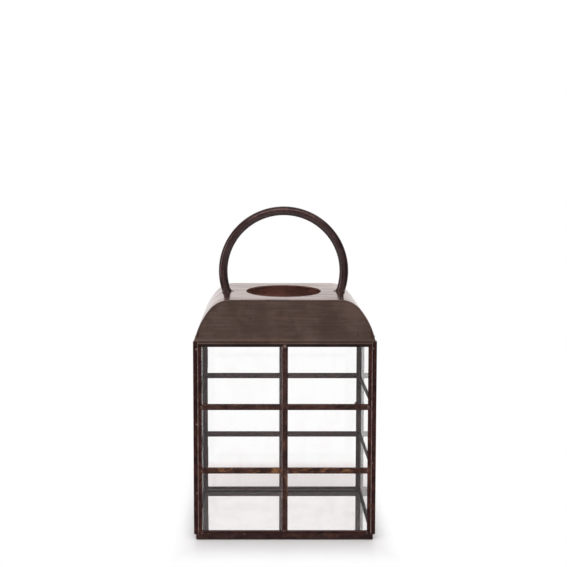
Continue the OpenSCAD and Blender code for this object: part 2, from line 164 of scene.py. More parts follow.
def make_rubbed_edge_and_sheen():
    """Mask of the edges that cloth and hands have rubbed, which also serves as a painted highlight along every edge.
    """
    tree, given, result = new_effect(
        "rubbed edge and sheen", [("Width", "Float", 0.0006), ("Wear And Sheen", "Float", 0.5)], [("Mask", "Float")])
    rounded = add(tree, "Bevel", {"Radius": given["Width"]}, samples=4).outputs[0]
    true_normal = add(tree, "NewGeometry").outputs["True Normal"]
    bend = add(tree, "VectorMath", {0: rounded, 1: true_normal}, operation="DOT_PRODUCT").outputs["Value"]
    broken = fade(tree, mottle(tree, rest_place(tree), 160, detail=3), 0.35, 0.62)
    edge = calc(tree, "MULTIPLY", fade(tree, bend, 0.99, 0.80), broken)
    tree.links.new(calc(tree, "MULTIPLY", edge, given["Wear And Sheen"]), result["Mask"])
    return tree


def make_crevice_shade_and_grime():
    """Mask of the corners and seams that nearby surfaces close in: painted shade there, together with the patina and
    grime that stay dark.
    """
    tree, given, result = new_effect(
        "crevice shade and grime", [("Reach", "Float", 0.003), ("Amount", "Float", 0.7)], [("Mask", "Float")])
    openness = add(tree, "AmbientOcclusion", {"Distance": given["Reach"]}, samples=6).outputs["AO"]
    patches = fade(tree, mottle(tree, rest_place(tree), 110, detail=4), 0.3, 0.6, 0.55, 1.0)
    closed = calc(tree, "MULTIPLY", fade(tree, openness, 0.85, 0.35), patches)
    tree.links.new(calc(tree, "MULTIPLY", closed, given["Amount"]), result["Mask"])
    return tree


def make_inner_soot():
    """Mask of the faces that look in at the flame, which soot and heat have coloured."""
    flame = (0, 0, 0.12)
    tree, given, result = new_effect("inner soot", [("Amount", "Float", 0.9)], [("Mask", "Float")])
    here = add(tree, "TexCoord").outputs
    from_flame = add(tree, "VectorMath", {0: here["Object"], 1: flame}, operation="SUBTRACT").outputs[0]
    outward = add(tree, "VectorMath", {0: from_flame}, operation="NORMALIZE").outputs[0]
    away = add(tree, "VectorMath", {0: here["Normal"], 1: outward}, operation="DOT_PRODUCT").outputs["Value"]
    tree.links.new(calc(tree, "MULTIPLY", fade(tree, away, -0.05, -0.3), given["Amount"]), result["Mask"])
    return tree


def make_hand_waves():
    """Low waves that rolling and bending leave in thin sheet."""
    tree, given, result = new_effect(
        "hand waves", [("Stretch", "Vector", (1, 1, 1)), ("Wave Scale", "Float", 18.0)], [("Height", "Float")])
    place = stretched(tree, rest_place(tree), given["Stretch"])
    tree.links.new(mottle(tree, place, given["Wave Scale"], detail=1.5), result["Height"])
    return tree


def make_settled_dust():
    """Mask of the dust that lies on what faces up."""
    tree, given, result = new_effect(
        "settled dust", [("Amount", "Float", 0.3), ("Patch Scale", "Float", 60.0)], [("Mask", "Float")])
    up = add(tree, "SeparateXYZ", {0: add(tree, "NewGeometry").outputs["Normal"]}).outputs["Z"]
    patches = fade(tree, mottle(tree, rest_place(tree), given["Patch Scale"], detail=6, rough=0.7), 0.42, 0.72)
    lying = calc(tree, "MULTIPLY", fade(tree, up, 0.5, 0.95), patches)
    tree.links.new(calc(tree, "MULTIPLY", lying, given["Amount"]), result["Mask"])
    return tree


PATINA = make_patina()
RUBBED_EDGE_AND_SHEEN = make_rubbed_edge_and_sheen()
CREVICE_SHADE_AND_GRIME = make_crevice_shade_and_grime()
INNER_SOOT = make_inner_soot()
HAND_WAVES = make_hand_waves()
SETTLED_DUST = make_settled_dust()


# Finishes

def new_finish(name):
    finish = bpy.data.materials.new(name)
    finish.use_nodes = True
    return finish, finish.node_tree, finish.node_tree.nodes["Principled BSDF"]


def set_plain(shader, **values):
    for label, value in values.items():
        shader.inputs[label.replace("_", " ")].default_value = value


def bumped(tree, layers):
    """One normal from several (height, distance) layers."""
    normal = None
    for height, distance in layers:
        inputs = {"Height": height, "Distance": distance, "Strength": 1.0}
        if normal:
            inputs["Normal"] = normal
        normal = add(tree, "Bump", inputs).outputs[0]
    return normal


DUST = "#b9afa8"
COAT_ROUGHNESS = 0.16


def aged_metal(name, dark, brown, rust, worn_edge_sheen, inside, shade_and_grime="#1c1110", grain=(1, 1, 1), clouds=40.0, contrast=0.12,
               rust_amount=0.5, wear_and_sheen=0.5, edge_width=0.6 * MM, shine=0.28, dull=0.46, metallic=0.85, dust=0.0,
               shade_and_grime_reach=2.5 * MM, shade_and_grime_amount=0.7, inside_dark="#1e1615", tooth=0.05 * MM, waves=None, bands=None,
               edge_tint="#ffffff", lacquer=0.0):
    """Brown-patinated metal: rubbed edges that also carry a painted highlight, corners and seams darkened by painted
    shade and patina, and a sooty inner side, as every metal piece here has.
    """
    finish, tree, shader = new_finish(name)
    patina = use(tree, PATINA, {"Grain": grain, "Cloud Scale": clouds, "Dark": paint(dark), "Brown": paint(brown),
                                "Rust": paint(rust), "Rust Amount": rust_amount, "Contrast": contrast,
                                "Shine Roughness": shine, "Dull Roughness": dull})
    sooty = use(tree, INNER_SOOT)["Mask"]
    stained = blend(tree, mottle(tree, rest_place(tree), 45, detail=4, twist=1.0), paint(inside_dark), paint(inside))
    skin = blend(tree, sooty, patina["Color"], stained)
    # Rubbed edges, lighter also as a painted highlight along every edge.
    rubbed_and_sheen = use(tree, RUBBED_EDGE_AND_SHEEN, {"Width": edge_width, "Wear And Sheen": wear_and_sheen})["Mask"]
    skin = blend(tree, rubbed_and_sheen, skin, paint(worn_edge_sheen))
    # Painted shade darkens corners and seams, together with the patina and grime that stay there.
    shaded_and_grimy = use(tree, CREVICE_SHADE_AND_GRIME, {"Reach": shade_and_grime_reach, "Amount": shade_and_grime_amount})["Mask"]
    skin = blend(tree, shaded_and_grimy, skin, paint(shade_and_grime))
    roughness = calc(tree, "SUBTRACT", patina["Roughness"], calc(tree, "MULTIPLY", rubbed_and_sheen, 0.08))
    roughness = calc(tree, "ADD", roughness, calc(tree, "MULTIPLY", shaded_and_grimy, 0.35))
    roughness = calc(tree, "ADD", roughness, calc(tree, "MULTIPLY", sooty, 0.45))
    covered = calc(tree, "MAXIMUM", sooty, shaded_and_grimy)
    tree.links.new(calc(tree, "MULTIPLY", fade(tree, covered, 0, 1, 1.0, 0.3), metallic), shader.inputs["Metallic"])
    if bands:
        stretch, scale, darkening, dulling = bands
        tarnish = use(tree, HAND_WAVES, {"Stretch": stretch, "Wave Scale": scale})["Height"]
        tarnish = fade(tree, tarnish, 0.46, 0.64)
        skin = blend(tree, calc(tree, "MULTIPLY", tarnish, darkening), skin, paint(dark))
        roughness = calc(tree, "ADD", roughness, calc(tree, "MULTIPLY", tarnish, dulling))
    if dust:
        lying = use(tree, SETTLED_DUST, {"Amount": dust})["Mask"]
        skin = blend(tree, lying, skin, paint(DUST))
        roughness = calc(tree, "ADD", roughness, calc(tree, "MULTIPLY", lying, 0.3))
    layers = [(patina["Height"], tooth)]
    if waves:
        stretch, scale, depth = waves
        layers.append((use(tree, HAND_WAVES, {"Stretch": stretch, "Wave Scale": scale})["Height"], depth))
    tree.links.new(skin, shader.inputs["Base Color"])
    tree.links.new(roughness, shader.inputs["Roughness"])
    tree.links.new(bumped(tree, layers), shader.inputs["Normal"])
    set_plain(shader, Specular_Tint=paint(edge_tint), Coat_Weight=lacquer, Coat_Roughness=COAT_ROUGHNESS)
    return finish


CAME_COLOURS = dict(dark="#281818", brown="#432c28", rust="#6b4a3a", worn_edge_sheen="#7d665f", inside="#583b3b")
DARK_COLOURS = dict(dark="#200e0d", brown="#3a1d1a", rust="#553326", worn_edge_sheen="#6d524d", inside="#4c3333")
GOLDEN_COLOURS = dict(dark="#2b1a18", brown="#4a3028", rust="#80593c", worn_edge_sheen="#86705f", inside="#583b3b")
ALONG = {"X": (0.35, 1, 1), "Y": (1, 0.35, 1), "Z": (1, 1, 0.35)}


def came_finish(direction, name="came_along_", colours=CAME_COLOURS, rust_amount=0.4):
    return aged_metal(name + direction.lower(), grain=ALONG[direction], clouds=90.0, contrast=0.12,
                      rust_amount=rust_amount, wear_and_sheen=0.35, shine=0.22, dull=0.40, tooth=0.03 * MM, **colours)


def shaded_head_finish():
    """The cames under the roof, painted nearly black: painted shade under the plate foot and lapped hem."""
    return aged_metal("head_came", "#160c0c", "#261715", "#3f281f", "#4c3a36", "#4c3233", grain=ALONG["X"],
                      clouds=60.0, rust_amount=0.25, wear_and_sheen=0.2, tooth=0.03 * MM)


def roof_plate_finish():
    return aged_metal("roof_plate", "#473731", "#5a4842", "#654f40", "#7b6a61", "#a86c5c", grain=(0.06, 1, 1),
                      clouds=24.0, contrast=0.11, rust_amount=0.3, wear_and_sheen=0.2, shine=0.26, dull=0.38,
                      shade_and_grime_reach=1.6 * MM, inside_dark="#52302a", tooth=0.03 * MM, waves=((1, 1, 1), 18.0, 0.8 * MM),
                      bands=((0.6, 1, 1), 24.0, 0.6, 0.04))


def roof_sheet_finish():
    return aged_metal("roof_sheet", "#523e3a", "#765f59", "#775f49", "#a8978e", "#a86c5c", grain=(0.1, 1, 0.1),
                      clouds=26.0, rust_amount=0.2, wear_and_sheen=0.35, shine=0.14, dull=0.21, dust=0.06, shade_and_grime_reach=2 * MM,
                      inside_dark="#52302a", tooth=0.02 * MM, waves=((0.12, 1, 0.12), 75.0, 0.35 * MM),
                      bands=((0.09, 1, 0.09), 130.0, 0.25, 0.18), edge_tint="#f9e6e1", lacquer=0.55)


def tray_finish():
    return aged_metal("tray", "#261918", "#422d2a", "#66432f", "#70595a", "#4c3233", grain=(0.3, 1, 1), clouds=45.0,
                      rust_amount=0.4, wear_and_sheen=0.45, shine=0.24, dull=0.42)


def handle_finish():
    return aged_metal("handle", "#312222", "#473534", "#624839", "#7f6c66", "#503d3b", clouds=38.0, rust_amount=0.15,
                      wear_and_sheen=0.2, shine=0.13, dull=0.22, shade_and_grime_reach=4 * MM, tooth=0.008 * MM)


def fittings_finish():
    return aged_metal("fittings", "#3a2a22", "#67503a", "#86603a", "#b79a6a", "#67503a", clouds=120.0,
                      rust_amount=0.4, wear_and_sheen=0.8, edge_width=0.3 * MM, shade_and_grime_reach=1 * MM)


def solder_finish():
    return aged_metal("patinated_solder", "#574442", "#7c6662", "#7c5f49", "#a08b86", "#5c4846", clouds=160.0,
                      rust_amount=0.4, wear_and_sheen=0.3, shine=0.18, dull=0.34, tooth=0.02 * MM, shade_and_grime_amount=0.0)


def joint_finish():
    return aged_metal("joint_solder", "#3a2826", "#604b46", "#6f4f3d", "#8a736c", "#5c4846", clouds=160.0,
                      rust_amount=0.4, wear_and_sheen=0.3, shine=0.20, dull=0.36, tooth=0.02 * MM, shade_and_grime_amount=0.0)


def flux_finish():
    return aged_metal("burnt_flux", "#120a09", "#241614", "#332018", "#3a2a27", "#241614", clouds=300.0, metallic=0.1,
                      rust_amount=0.2, wear_and_sheen=0.1, shine=0.4, dull=0.6)


# Dark solder, dark also as painted shade in the corner round each end plate.
def rim_solder_and_shade_finish():
    return aged_metal("rim_solder_and_shade", "#2a1a19", "#47302c", "#5d4032", "#6b5750", "#47302c", clouds=200.0,
                      rust_amount=0.3, wear_and_sheen=0.1)


def glass_finish():
    """Clear pane: a few faint smears and the slight waves of drawn glass."""
    wave_scale, wave_depth = 14, 0.035 * MM
    finish, tree, shader = new_finish("pane_glass")
    place = rest_place(tree)
    smears = fade(tree, mottle(tree, stretched(tree, place, (1, 1, 0.5)), 30, detail=4, twist=2.0), 0.45, 0.8)
    tint = blend(tree, smears, paint("#fefefe"), paint("#fcfafa"))
    tree.links.new(tint, shader.inputs["Base Color"])
    tree.links.new(calc(tree, "MULTIPLY", smears, 0.02), shader.inputs["Roughness"])
    tree.links.new(bumped(tree, [(mottle(tree, place, wave_scale, detail=1), wave_depth)]), shader.inputs["Normal"])
    set_plain(shader, Transmission_Weight=1.0, IOR=1.3, Metallic=0.0)
    return finish


def mirror_finish():
    """Mirror under a thin haze of wax and dust."""
    finish, tree, shader = new_finish("mirror_floor")
    place = rest_place(tree)
    haze = fade(tree, mottle(tree, place, 40, detail=6, rough=0.65, twist=0.6), 0.40, 0.75)
    specks = fade(tree, mottle(tree, place, 520, detail=1), 0.735, 0.78)
    silver = blend(tree, haze, paint("#f7f4f3"), paint("#f3eeed"))
    silver = blend(tree, calc(tree, "MULTIPLY", specks, 0.5), silver, paint("#8d8683"))
    tree.links.new(silver, shader.inputs["Base Color"])
    tree.links.new(fade(tree, haze, 0, 1, 0.03, 0.10), shader.inputs["Roughness"])
    tree.links.new(calc(tree, "SUBTRACT", 0.9, calc(tree, "MULTIPLY", specks, 0.6)), shader.inputs["Metallic"])
    return finish


# Dark wings left and right of the camera, which only reflections show: their radiance, and where they set in sideways
# and, from the back, towards the camera, in metres on the floor and as directions in the sky
WING_GREY = 0.28
FLOOR_WING_SIDE, FLOOR_WING_BACK = (0.5, 0.9), (0.6, 0.1)
SKY_WING_SIDE, SKY_WING_BACK = (0.6, 0.85), (0.55, 0.2)

# Where a white glow, laid over the floor's own shading, turns the floor pure white and cuts the lantern's shadow off:
# beside the lantern, before it, and in two steps behind it, the first only a partial glow that lightens the shadow
# there (painted light); behind it the floor also takes a warm tint, painted into the shade there
WHITE_BESIDE = (0.096, 0.125)
WHITE_BEFORE = (-0.068, -0.118)
PALE_GLOW_BEHIND, PALE_GLOW_AMOUNT = (0.07, 0.09), 0.35
WHITE_BEHIND = (0.140, 0.190)
SHADE_WARMTH_BEHIND = (0.06, 0.09)


def surroundings_rays(tree):
    """The kinds of ray, and 1 for those that show the surroundings: camera, glossy and transmitted ones."""
    rays = add(tree, "LightPath").outputs
    return rays, calc(tree, "MAXIMUM", rays["Is Camera Ray"],
                      calc(tree, "MAXIMUM", rays["Is Glossy Ray"], rays["Is Transmission Ray"]))


def floor_finish():
    """White sweep whose glow keeps the lantern's shadow close under it and turns the floor pure white away from it:
    the glow's outline, a partial glow and a warm tint behind the lantern are painted light.
    """
    finish, tree, shader = new_finish("white_sweep")
    place = rest_place(tree)
    paper = fade(tree, mottle(tree, place, 30, detail=3), 0.3, 0.7, 0.0, 0.25)
    split = add(tree, "SeparateXYZ", {0: place}).outputs
    sheet = blend(tree, paper, paint("#f4f2f2"), paint("#f1efef"))
    # Warm tint painted into the shade behind the lantern.
    sheet = blend(tree, fade(tree, split["Y"], *SHADE_WARMTH_BEHIND), sheet, paint("#f6e8e6"))
    tree.links.new(sheet, shader.inputs["Base Color"])
    set_plain(shader, Roughness=0.3, Specular_IOR_Level=0.4)
    rays, seen = surroundings_rays(tree)
    sideways = calc(tree, "ABSOLUTE", split["X"])
    wings = calc(tree, "MULTIPLY", fade(tree, sideways, *FLOOR_WING_SIDE), fade(tree, split["Y"], *FLOOR_WING_BACK))
    wings = calc(tree, "MULTIPLY", wings, calc(tree, "SUBTRACT", 1.0, rays["Is Camera Ray"]))
    white = add(tree, "Emission", {"Strength": fade(tree, wings, 0, 1, 1.0, WING_GREY)})
    beside = fade(tree, sideways, *WHITE_BESIDE)
    before = fade(tree, split["Y"], *WHITE_BEFORE)
    # Partial white glow that lightens the shadow behind the lantern: painted light.
    behind = calc(tree, "MAXIMUM", fade(tree, split["Y"], *PALE_GLOW_BEHIND, 0.0, PALE_GLOW_AMOUNT),
                  fade(tree, split["Y"], *WHITE_BEHIND))
    cover = calc(tree, "MULTIPLY", seen, calc(tree, "MAXIMUM", beside, calc(tree, "MAXIMUM", before, behind)))
    joined = add(tree, "MixShader", {0: cover, 1: shader.outputs[0], 2: white.outputs[0]})
    tree.links.new(joined.outputs[0], tree.nodes["Material Output"].inputs["Surface"])
    return finish


def dress(finish, *nodes):
    """Put a finish on all faces of the named nodes."""
    for name in nodes:
        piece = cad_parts[name]
        if not piece.material_slots:
            piece.data.materials.append(finish)
        for slot in piece.material_slots:
            slot.material = finish


def worn_by(node):
    """The finish that a node already has."""
    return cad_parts[node].material_slots[0].material


CORNER_STILES = ("front_left_stile", "front_right_stile", "left_front_stile", "right_front_stile", "left_rear_stile",
                 "right_rear_stile")


def dress_lantern():
    names = list(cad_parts)
    dress(came_finish("Z"), "door_hinge_stile", "door_latch_stile", *[n for n in names if n.endswith("_mullion")])
    dress(came_finish("Z", "corner_came_along_", DARK_COLOURS), *CORNER_STILES)
    dress(came_finish("X"), "front_upper_bars", "door_stop", "door_top_rail", "door_bottom_rail",
          "door_upper_bars", "door_lower_bars")
    dress(came_finish("X", "golden_came_along_", GOLDEN_COLOURS, 0.48), "front_lower_bars")
    dress(came_finish("X", "sill_came_along_", DARK_COLOURS), "front_sill_rail")
    dress(came_finish("Y"), *[side + part for side in ("left_", "right_")
                              for part in ("top_rail", "sill_rail", "upper_bar", "lower_bar")])
    dress(shaded_head_finish(), "front_head_rail", "rear_head_rail")
    dress(glass_finish(), *[n for n in names if "_pane_" in n])
    dress(mirror_finish(), "mirror_plate")
    dress(tray_finish(), "base_tray")
    dress(roof_sheet_finish(), "roof_sheet")
    dress(roof_plate_finish(), "roof_front_plate", "roof_rear_plate")
    dress(handle_finish(), "handle", "handle_brazes")
    dress(fittings_finish(), "hinge_post_leaves", "hinge_door_leaves", "hinge_pins", "door_knob", "turn_button",
          "turn_button_rivet")


# Stage

FLOOR_RADIUS = 6.0
FLOOR_RINGS = (0.3, 0.6, 1.2, 2.5, FLOOR_RADIUS)
FLOOR_SPOKES = 48


def make_floor():
    """Round sheet of floor under the lantern, in rings that widen outwards."""
    mesh = bmesh.new()
    centre = mesh.verts.new((0, 0, 0))
    inner = [centre]
    for radius in FLOOR_RINGS:
        ring = [mesh.verts.new((radius * math.cos(a), radius * math.sin(a), 0))
                for a in (2 * math.pi * i / FLOOR_SPOKES for i in range(FLOOR_SPOKES))]
        for i in range(FLOOR_SPOKES):
            j = (i + 1) % FLOOR_SPOKES
            if len(inner) == 1:
                mesh.faces.new((centre, ring[i], ring[j]))
            else:
                mesh.faces.new((inner[i], ring[i], ring[j], inner[j]))
        inner = ring
    piece_from("floor", mesh, floor_finish())


def piece_from(name, mesh, finish):
    """Turn a finished mesh into a piece of the scene."""
    bmesh.ops.recalc_face_normals(mesh, faces=mesh.faces)
    data = bpy.data.meshes.new(name)
    mesh.to_mesh(data)
    mesh.free()
    data.materials.append(finish)
    piece = bpy.data.objects.new(name, data)
    bpy.context.scene.collection.objects.link(piece)
    return piece


def aim(thing, target):
    """Turn a lamp so that it shines at the target."""
    thing.rotation_euler = (Vector(target) - thing.location).to_track_quat("-Z", "Y").to_euler()


def add_softbox(name, place, size, power, target):
    """Rectangular lamp that shines at the target."""
    lamp = bpy.data.lights.new(name, "AREA")
    lamp.shape = "RECTANGLE"
    lamp.size, lamp.size_y = size
    lamp.energy = power
    box = bpy.data.objects.new(name, lamp)
    box.location = place
    bpy.context.scene.collection.objects.link(box)
    aim(box, target)


# Strength of the sky as light, where what is seen of it has strength 1
SKY_LIGHT = 0.72


def light_studio():
    """White sky that lights softly, a softbox overhead and a strip light on the left."""
    world = bpy.data.worlds.new("white_studio")
    bpy.context.scene.world = world
    world.use_nodes = True
    tree = world.node_tree
    rays, seen = surroundings_rays(tree)
    sky = tree.nodes["Background"].inputs
    towards = add(tree, "SeparateXYZ", {0: add(tree, "TexCoord").outputs["Generated"]}).outputs
    wings = calc(tree, "MULTIPLY", fade(tree, calc(tree, "ABSOLUTE", towards["X"]), *SKY_WING_SIDE),
                 fade(tree, towards["Y"], *SKY_WING_BACK))
    wings = calc(tree, "MULTIPLY", wings, calc(tree, "SUBTRACT", seen, rays["Is Camera Ray"]))
    tree.links.new(blend(tree, wings, (1, 1, 1, 1), (WING_GREY, WING_GREY, WING_GREY, 1)), sky["Color"])
    tree.links.new(fade(tree, seen, 0, 1, SKY_LIGHT, 1.0), sky["Strength"])
    add_softbox("overhead_softbox", place=(0, -0.87, 1.34), size=(1.4, 0.9), power=9, target=(0, 0, 0.18))
    add_softbox("left_strip_light", place=(-1.2, -0.5, 0.45), size=(0.5, 1.1), power=5.5, target=(0, 0, 0.3))


# Camera, fitted to about 60 edges of the photograph

CAMERA_PLACE = (-0.02528, -0.92782, 0.41387)
CAMERA_PITCH = 0.0677
CAMERA_LENS = 51.288
CAMERA_SHIFT = (0.03849, -0.11248)


def set_camera():
    lens = bpy.data.cameras.new("camera")
    lens.lens = CAMERA_LENS
    lens.shift_x, lens.shift_y = CAMERA_SHIFT
    camera = bpy.data.objects.new("camera", lens)
    camera.location = CAMERA_PLACE
    camera.rotation_euler = (math.pi / 2 - CAMERA_PITCH, 0, 0)
    bpy.context.scene.collection.objects.link(camera)
    bpy.context.scene.camera = camera
    bpy.context.scene.view_settings.view_transform = "Standard"


# Solder

# A bead: the sides of its tube, the shares of its radius at its last points, and how fine its two unevennesses are
BEAD_SIDES = 8
BEAD_TAPER = (0.4, 0.82)
BEAD_RIPPLE, BEAD_SWELL = 260, 90

# A drop: how far its rim is sunk, how ragged that is, and how fine the raggedness is
BLOB_SINK = 0.3 * MM
BLOB_RAGGED, BLOB_RAGGED_REACH, BLOB_RAGGED_SCALE = 0.3, 4 * MM, 300


def rest_noise(place, scale, seed):
    """Repeatable unevenness from -1 to 1."""
    return noise.noise(Vector(place) * scale + Vector((seed * 7.3, seed * 3.1, seed * 5.7)))


def run_bead(mesh, path, radius, flat, seed, closed=False, uneven=0.2):
    """Solder run along a path that lies square to the direction flat: a closed tube of uneven thickness."""
    rings = []
    count = len(path)
    for i, point in enumerate(path):
        before = path[i - 1] if closed or i else point
        after = path[(i + 1) % count] if closed or i < count - 1 else point
        across = (after - before).normalized().cross(flat).normalized()
        size = radius * (1 + uneven * rest_noise(point, BEAD_RIPPLE, seed)
                         + uneven * rest_noise(point, BEAD_SWELL, seed))
        from_end = min(i, count - 1 - i)
        if not closed and from_end < len(BEAD_TAPER):
            size *= BEAD_TAPER[from_end]
        rings.append([mesh.verts.new(point + size * (math.cos(a) * across + math.sin(a) * flat))
                      for a in (2 * math.pi * k / BEAD_SIDES for k in range(BEAD_SIDES))])
    for first, second in zip(rings, rings[1:] + (rings[:1] if closed else [])):
        for k in range(BEAD_SIDES):
            n = (k + 1) % BEAD_SIDES
            mesh.faces.new((first[k], first[n], second[n], second[k]))
    if not closed:
        mesh.faces.new(rings[0])
        mesh.faces.new(list(reversed(rings[-1])))


def straight(start, end, step=1.2 * MM):
    """Points from start to end, about a step apart."""
    count = max(4, round((end - start).length / step))
    return [start.lerp(end, i / count) for i in range(count + 1)]


def add_blob(mesh, centre, out, radius, height, seed, rings=4, spokes=14):
    """Drop of solder that lies on a surface whose outward direction is out, sunk a little into it."""
    side = out.orthogonal().normalized()
    other = out.cross(side)
    tip = mesh.verts.new(centre + height * out)
    last = None
    for i in range(1, rings + 1):
        share = i / rings
        ring = []
        for k in range(spokes):
            angle = 2 * math.pi * k / spokes
            spoke = math.cos(angle) * side + math.sin(angle) * other
            ragged = BLOB_RAGGED * rest_noise(centre + BLOB_RAGGED_REACH * spoke, BLOB_RAGGED_SCALE, seed)
            reach = radius * share * (1 + ragged)
            rise = height * (1 - share ** 2) ** 0.5 - (BLOB_SINK if i == rings else 0)
            ring.append(mesh.verts.new(centre + reach * spoke + rise * out))
        for k in range(spokes):
            n = (k + 1) % spokes
            if last:
                mesh.faces.new((last[k], ring[k], ring[n], last[n]))
            else:
                mesh.faces.new((tip, ring[k], ring[n]))
        last = ring
    mesh.faces.new(last)


def smooth(piece):
    for face in piece.data.polygons:
        face.use_smooth = True
    return piece


def solder_on(name, mesh, body="lantern", finish=None):
    """A piece of smooth solder that rides on a body."""
    piece = smooth(piece_from(name, mesh, finish or SOLDER))
    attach(piece, body)
    return piece


# Heights in mm of the drops on each front corner, and how far in from the groove the front runs lie
CORNER_DROPS = {"left": (54, 131, 214), "right": (88, 215)}
RUN_INSET = 1.05 * MM


def make_corner_solder():
    """Run of solder beside the groove of each front corner, and a short one in each rear corner over the door."""
    sink, radius = 0.5 * MM, 0.75 * MM
    drop_radius, drop_height = 1.4 * MM, 0.4 * MM
    head_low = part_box("rear_head_rail")[LOW].z
    for side, word in ((-1, "left"), (1, "right")):
        mesh = bmesh.new()
        front = [Vector((side * (CORNER_X - RUN_INSET), FRONT_FACE + sink, z)) for z in (TRAY_TOP, WALL_TOP)]
        rear = [Vector((side * CORNER_X, CORNER_Y - sink, z)) for z in (head_low, WALL_TOP)]
        run_bead(mesh, straight(*front), radius, BACKWARD, seed=side + 2)
        run_bead(mesh, straight(*rear), radius, BACKWARD, seed=side + 5)
        for z in CORNER_DROPS[word]:
            add_blob(mesh, Vector((side * CORNER_X, FRONT_FACE, z * MM)), FORWARD, drop_radius, drop_height, seed=z)
        solder_on("corner_solder_" + word, mesh)


def add_strip(name, ends, finish):
    """Closed strip between two equal sections, each a list of points."""
    mesh = bmesh.new()
    first, last = [[mesh.verts.new(point) for point in section] for section in ends]
    for i in range(len(first)):
        j = (i + 1) % len(first)
        mesh.faces.new((first[i], first[j], last[j], last[i]))
    mesh.faces.new(first)
    mesh.faces.new(list(reversed(last)))
    piece = piece_from(name, mesh, finish)
    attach(piece, "lantern")


# Section of the strip at each upright edge of the closed door, in mm: (in from the side wall, forward of the door)
LIP = ((-0.2, 0.2), (1.0, 0.2), (1.15, 0.3), (1.15, 0.5), (1.0, 0.6), (-0.2, 0.6))


def make_door_lips(finish):
    """Thin strip soldered down each rear corner, which keeps light from passing the closed door's edge."""
    over_mirror, into_head = 0.05 * MM, 0.3 * MM
    door_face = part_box("door_hinge_stile")[LOW].y
    heights = (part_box("mirror_plate")[HIGH].z + over_mirror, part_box("rear_head_rail")[LOW].z + into_head)
    for side, word in ((-1, "left"), (1, "right")):
        ends = [[(side * (CORNER_X - across * MM), door_face - ahead * MM, z) for across, ahead in LIP]
                for z in heights]
        add_strip("door_lip_" + word, ends, finish)


def make_mullion_highlight_seam():
    """Run of bright solder down the rounded left edge of the front mullion, a painted highlight where light from the
    left catches that edge, and a drop of solder where the mullion meets the head.
    """
    inset, sink, below_top, radius = 0.55 * MM, 0.3 * MM, 5 * MM, 0.5 * MM
    drop_radius, drop_height = 2.3 * MM, 0.4 * MM
    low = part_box("front_mullion")[LOW]
    ends = [Vector((low.x + inset, FRONT_FACE + sink, z)) for z in (low.z, WALL_TOP - below_top)]
    mesh = bmesh.new()
    run_bead(mesh, straight(*ends), radius, BACKWARD, seed=8, uneven=0.3)
    add_blob(mesh, Vector((0, FRONT_FACE, ends[1].z)), FORWARD, drop_radius, drop_height, seed=9)
    solder_on("mullion_highlight_solder", mesh)


# Butt joints: radius and step of the bead, how far it is sunk in and inset from the came's edges, and the drop on it
SEAM_R, SEAM_STEP, SEAM_SINK, SEAM_INSET = 1.1 * MM, 1 * MM, 0.8 * MM, 0.9 * MM
DROP_R, DROP_RISE, DROP_HEIGHT = 1.7 * MM, 0.75 * MM, 0.35 * MM


def solder_seams(mesh, seams, place, out, seed):
    """A bead and a drop over each butt joint. A seam is (u, z) to (u, z), and place turns (u, z) into a point."""
    for i, (start, end) in enumerate(seams):
        first, last = place(*start), place(*end)
        run_bead(mesh, straight(first, last, SEAM_STEP), SEAM_R, out, seed + i, uneven=0.35)
        shift = 0.5 + 0.4 * rest_noise(first, 90, seed + i)
        size = DROP_R * (1 + 0.4 * rest_noise(last, 150, seed + i))
        add_blob(mesh, first.lerp(last, shift) + DROP_RISE * out, out, size, DROP_HEIGHT, seed + i)


def wall_seams(wall, axis, stiles, crosses, mullion=None, rails=()):
    """Butt joints of a wall's cames, from the boxes of its nodes: axis is 0 along X and 1 along Y."""
    edges = [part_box(wall + stiles[0])[HIGH][axis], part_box(wall + stiles[1])[LOW][axis]]
    uprights = list(edges)
    seams = []
    if mullion:
        low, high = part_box(wall + mullion)
        uprights += [low[axis], high[axis]]
        seams += [((low[axis] + SEAM_INSET, z), (high[axis] - SEAM_INSET, z)) for z in (low.z, high.z)]
    for cross in crosses:
        low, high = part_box(wall + cross)
        seams += [((u, low.z + SEAM_INSET), (u, high.z - SEAM_INSET)) for u in uprights]
    for rail in rails:
        low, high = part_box(wall + rail)
        seams += [((u, low.z + SEAM_INSET), (u, high.z - SEAM_INSET)) for u in edges]
    return seams


def make_joint_solder():
    """Solder over every butt joint of the cames, on both faces of each wall."""
    depth = CAME / 2 - SEAM_SINK
    bars = ("upper_bars", "lower_bars")
    wall_y = CORNER_Y - CAME / 2
    wall_x = SIDE_FACE - CAME / 2
    jobs = [
        ("front", "lantern", 0, -wall_y, wall_seams("front_", 0, ("left_stile", "right_stile"), bars, "mullion",
                                                    ("sill_rail",))),
        ("door", "door", 0, wall_y, wall_seams("door_", 0, ("hinge_stile", "latch_stile"), bars, "mullion",
                                               ("top_rail", "bottom_rail"))),
        ("left", "lantern", 1, -wall_x, wall_seams("left_", 1, ("front_stile", "rear_stile"),
                                                   ("upper_bar", "lower_bar", "top_rail", "sill_rail"))),
        ("right", "lantern", 1, wall_x, wall_seams("right_", 1, ("front_stile", "rear_stile"),
                                                   ("upper_bar", "lower_bar", "top_rail", "sill_rail"))),
    ]
    for number, (wall, body, axis, middle, seams) in enumerate(jobs):
        mesh = bmesh.new()
        for face in (-1, 1):
            off = middle + face * depth
            if axis == 0:
                solder_seams(mesh, seams, lambda u, z: Vector((u, off, z)), face * BACKWARD, seed=40 * number + face)
            else:
                solder_seams(mesh, seams, lambda u, z: Vector((off, u, z)), face * RIGHT, seed=40 * number + face)
        solder_on(wall + "_joint_solder", mesh, body, finish=JOINT_SOLDER)


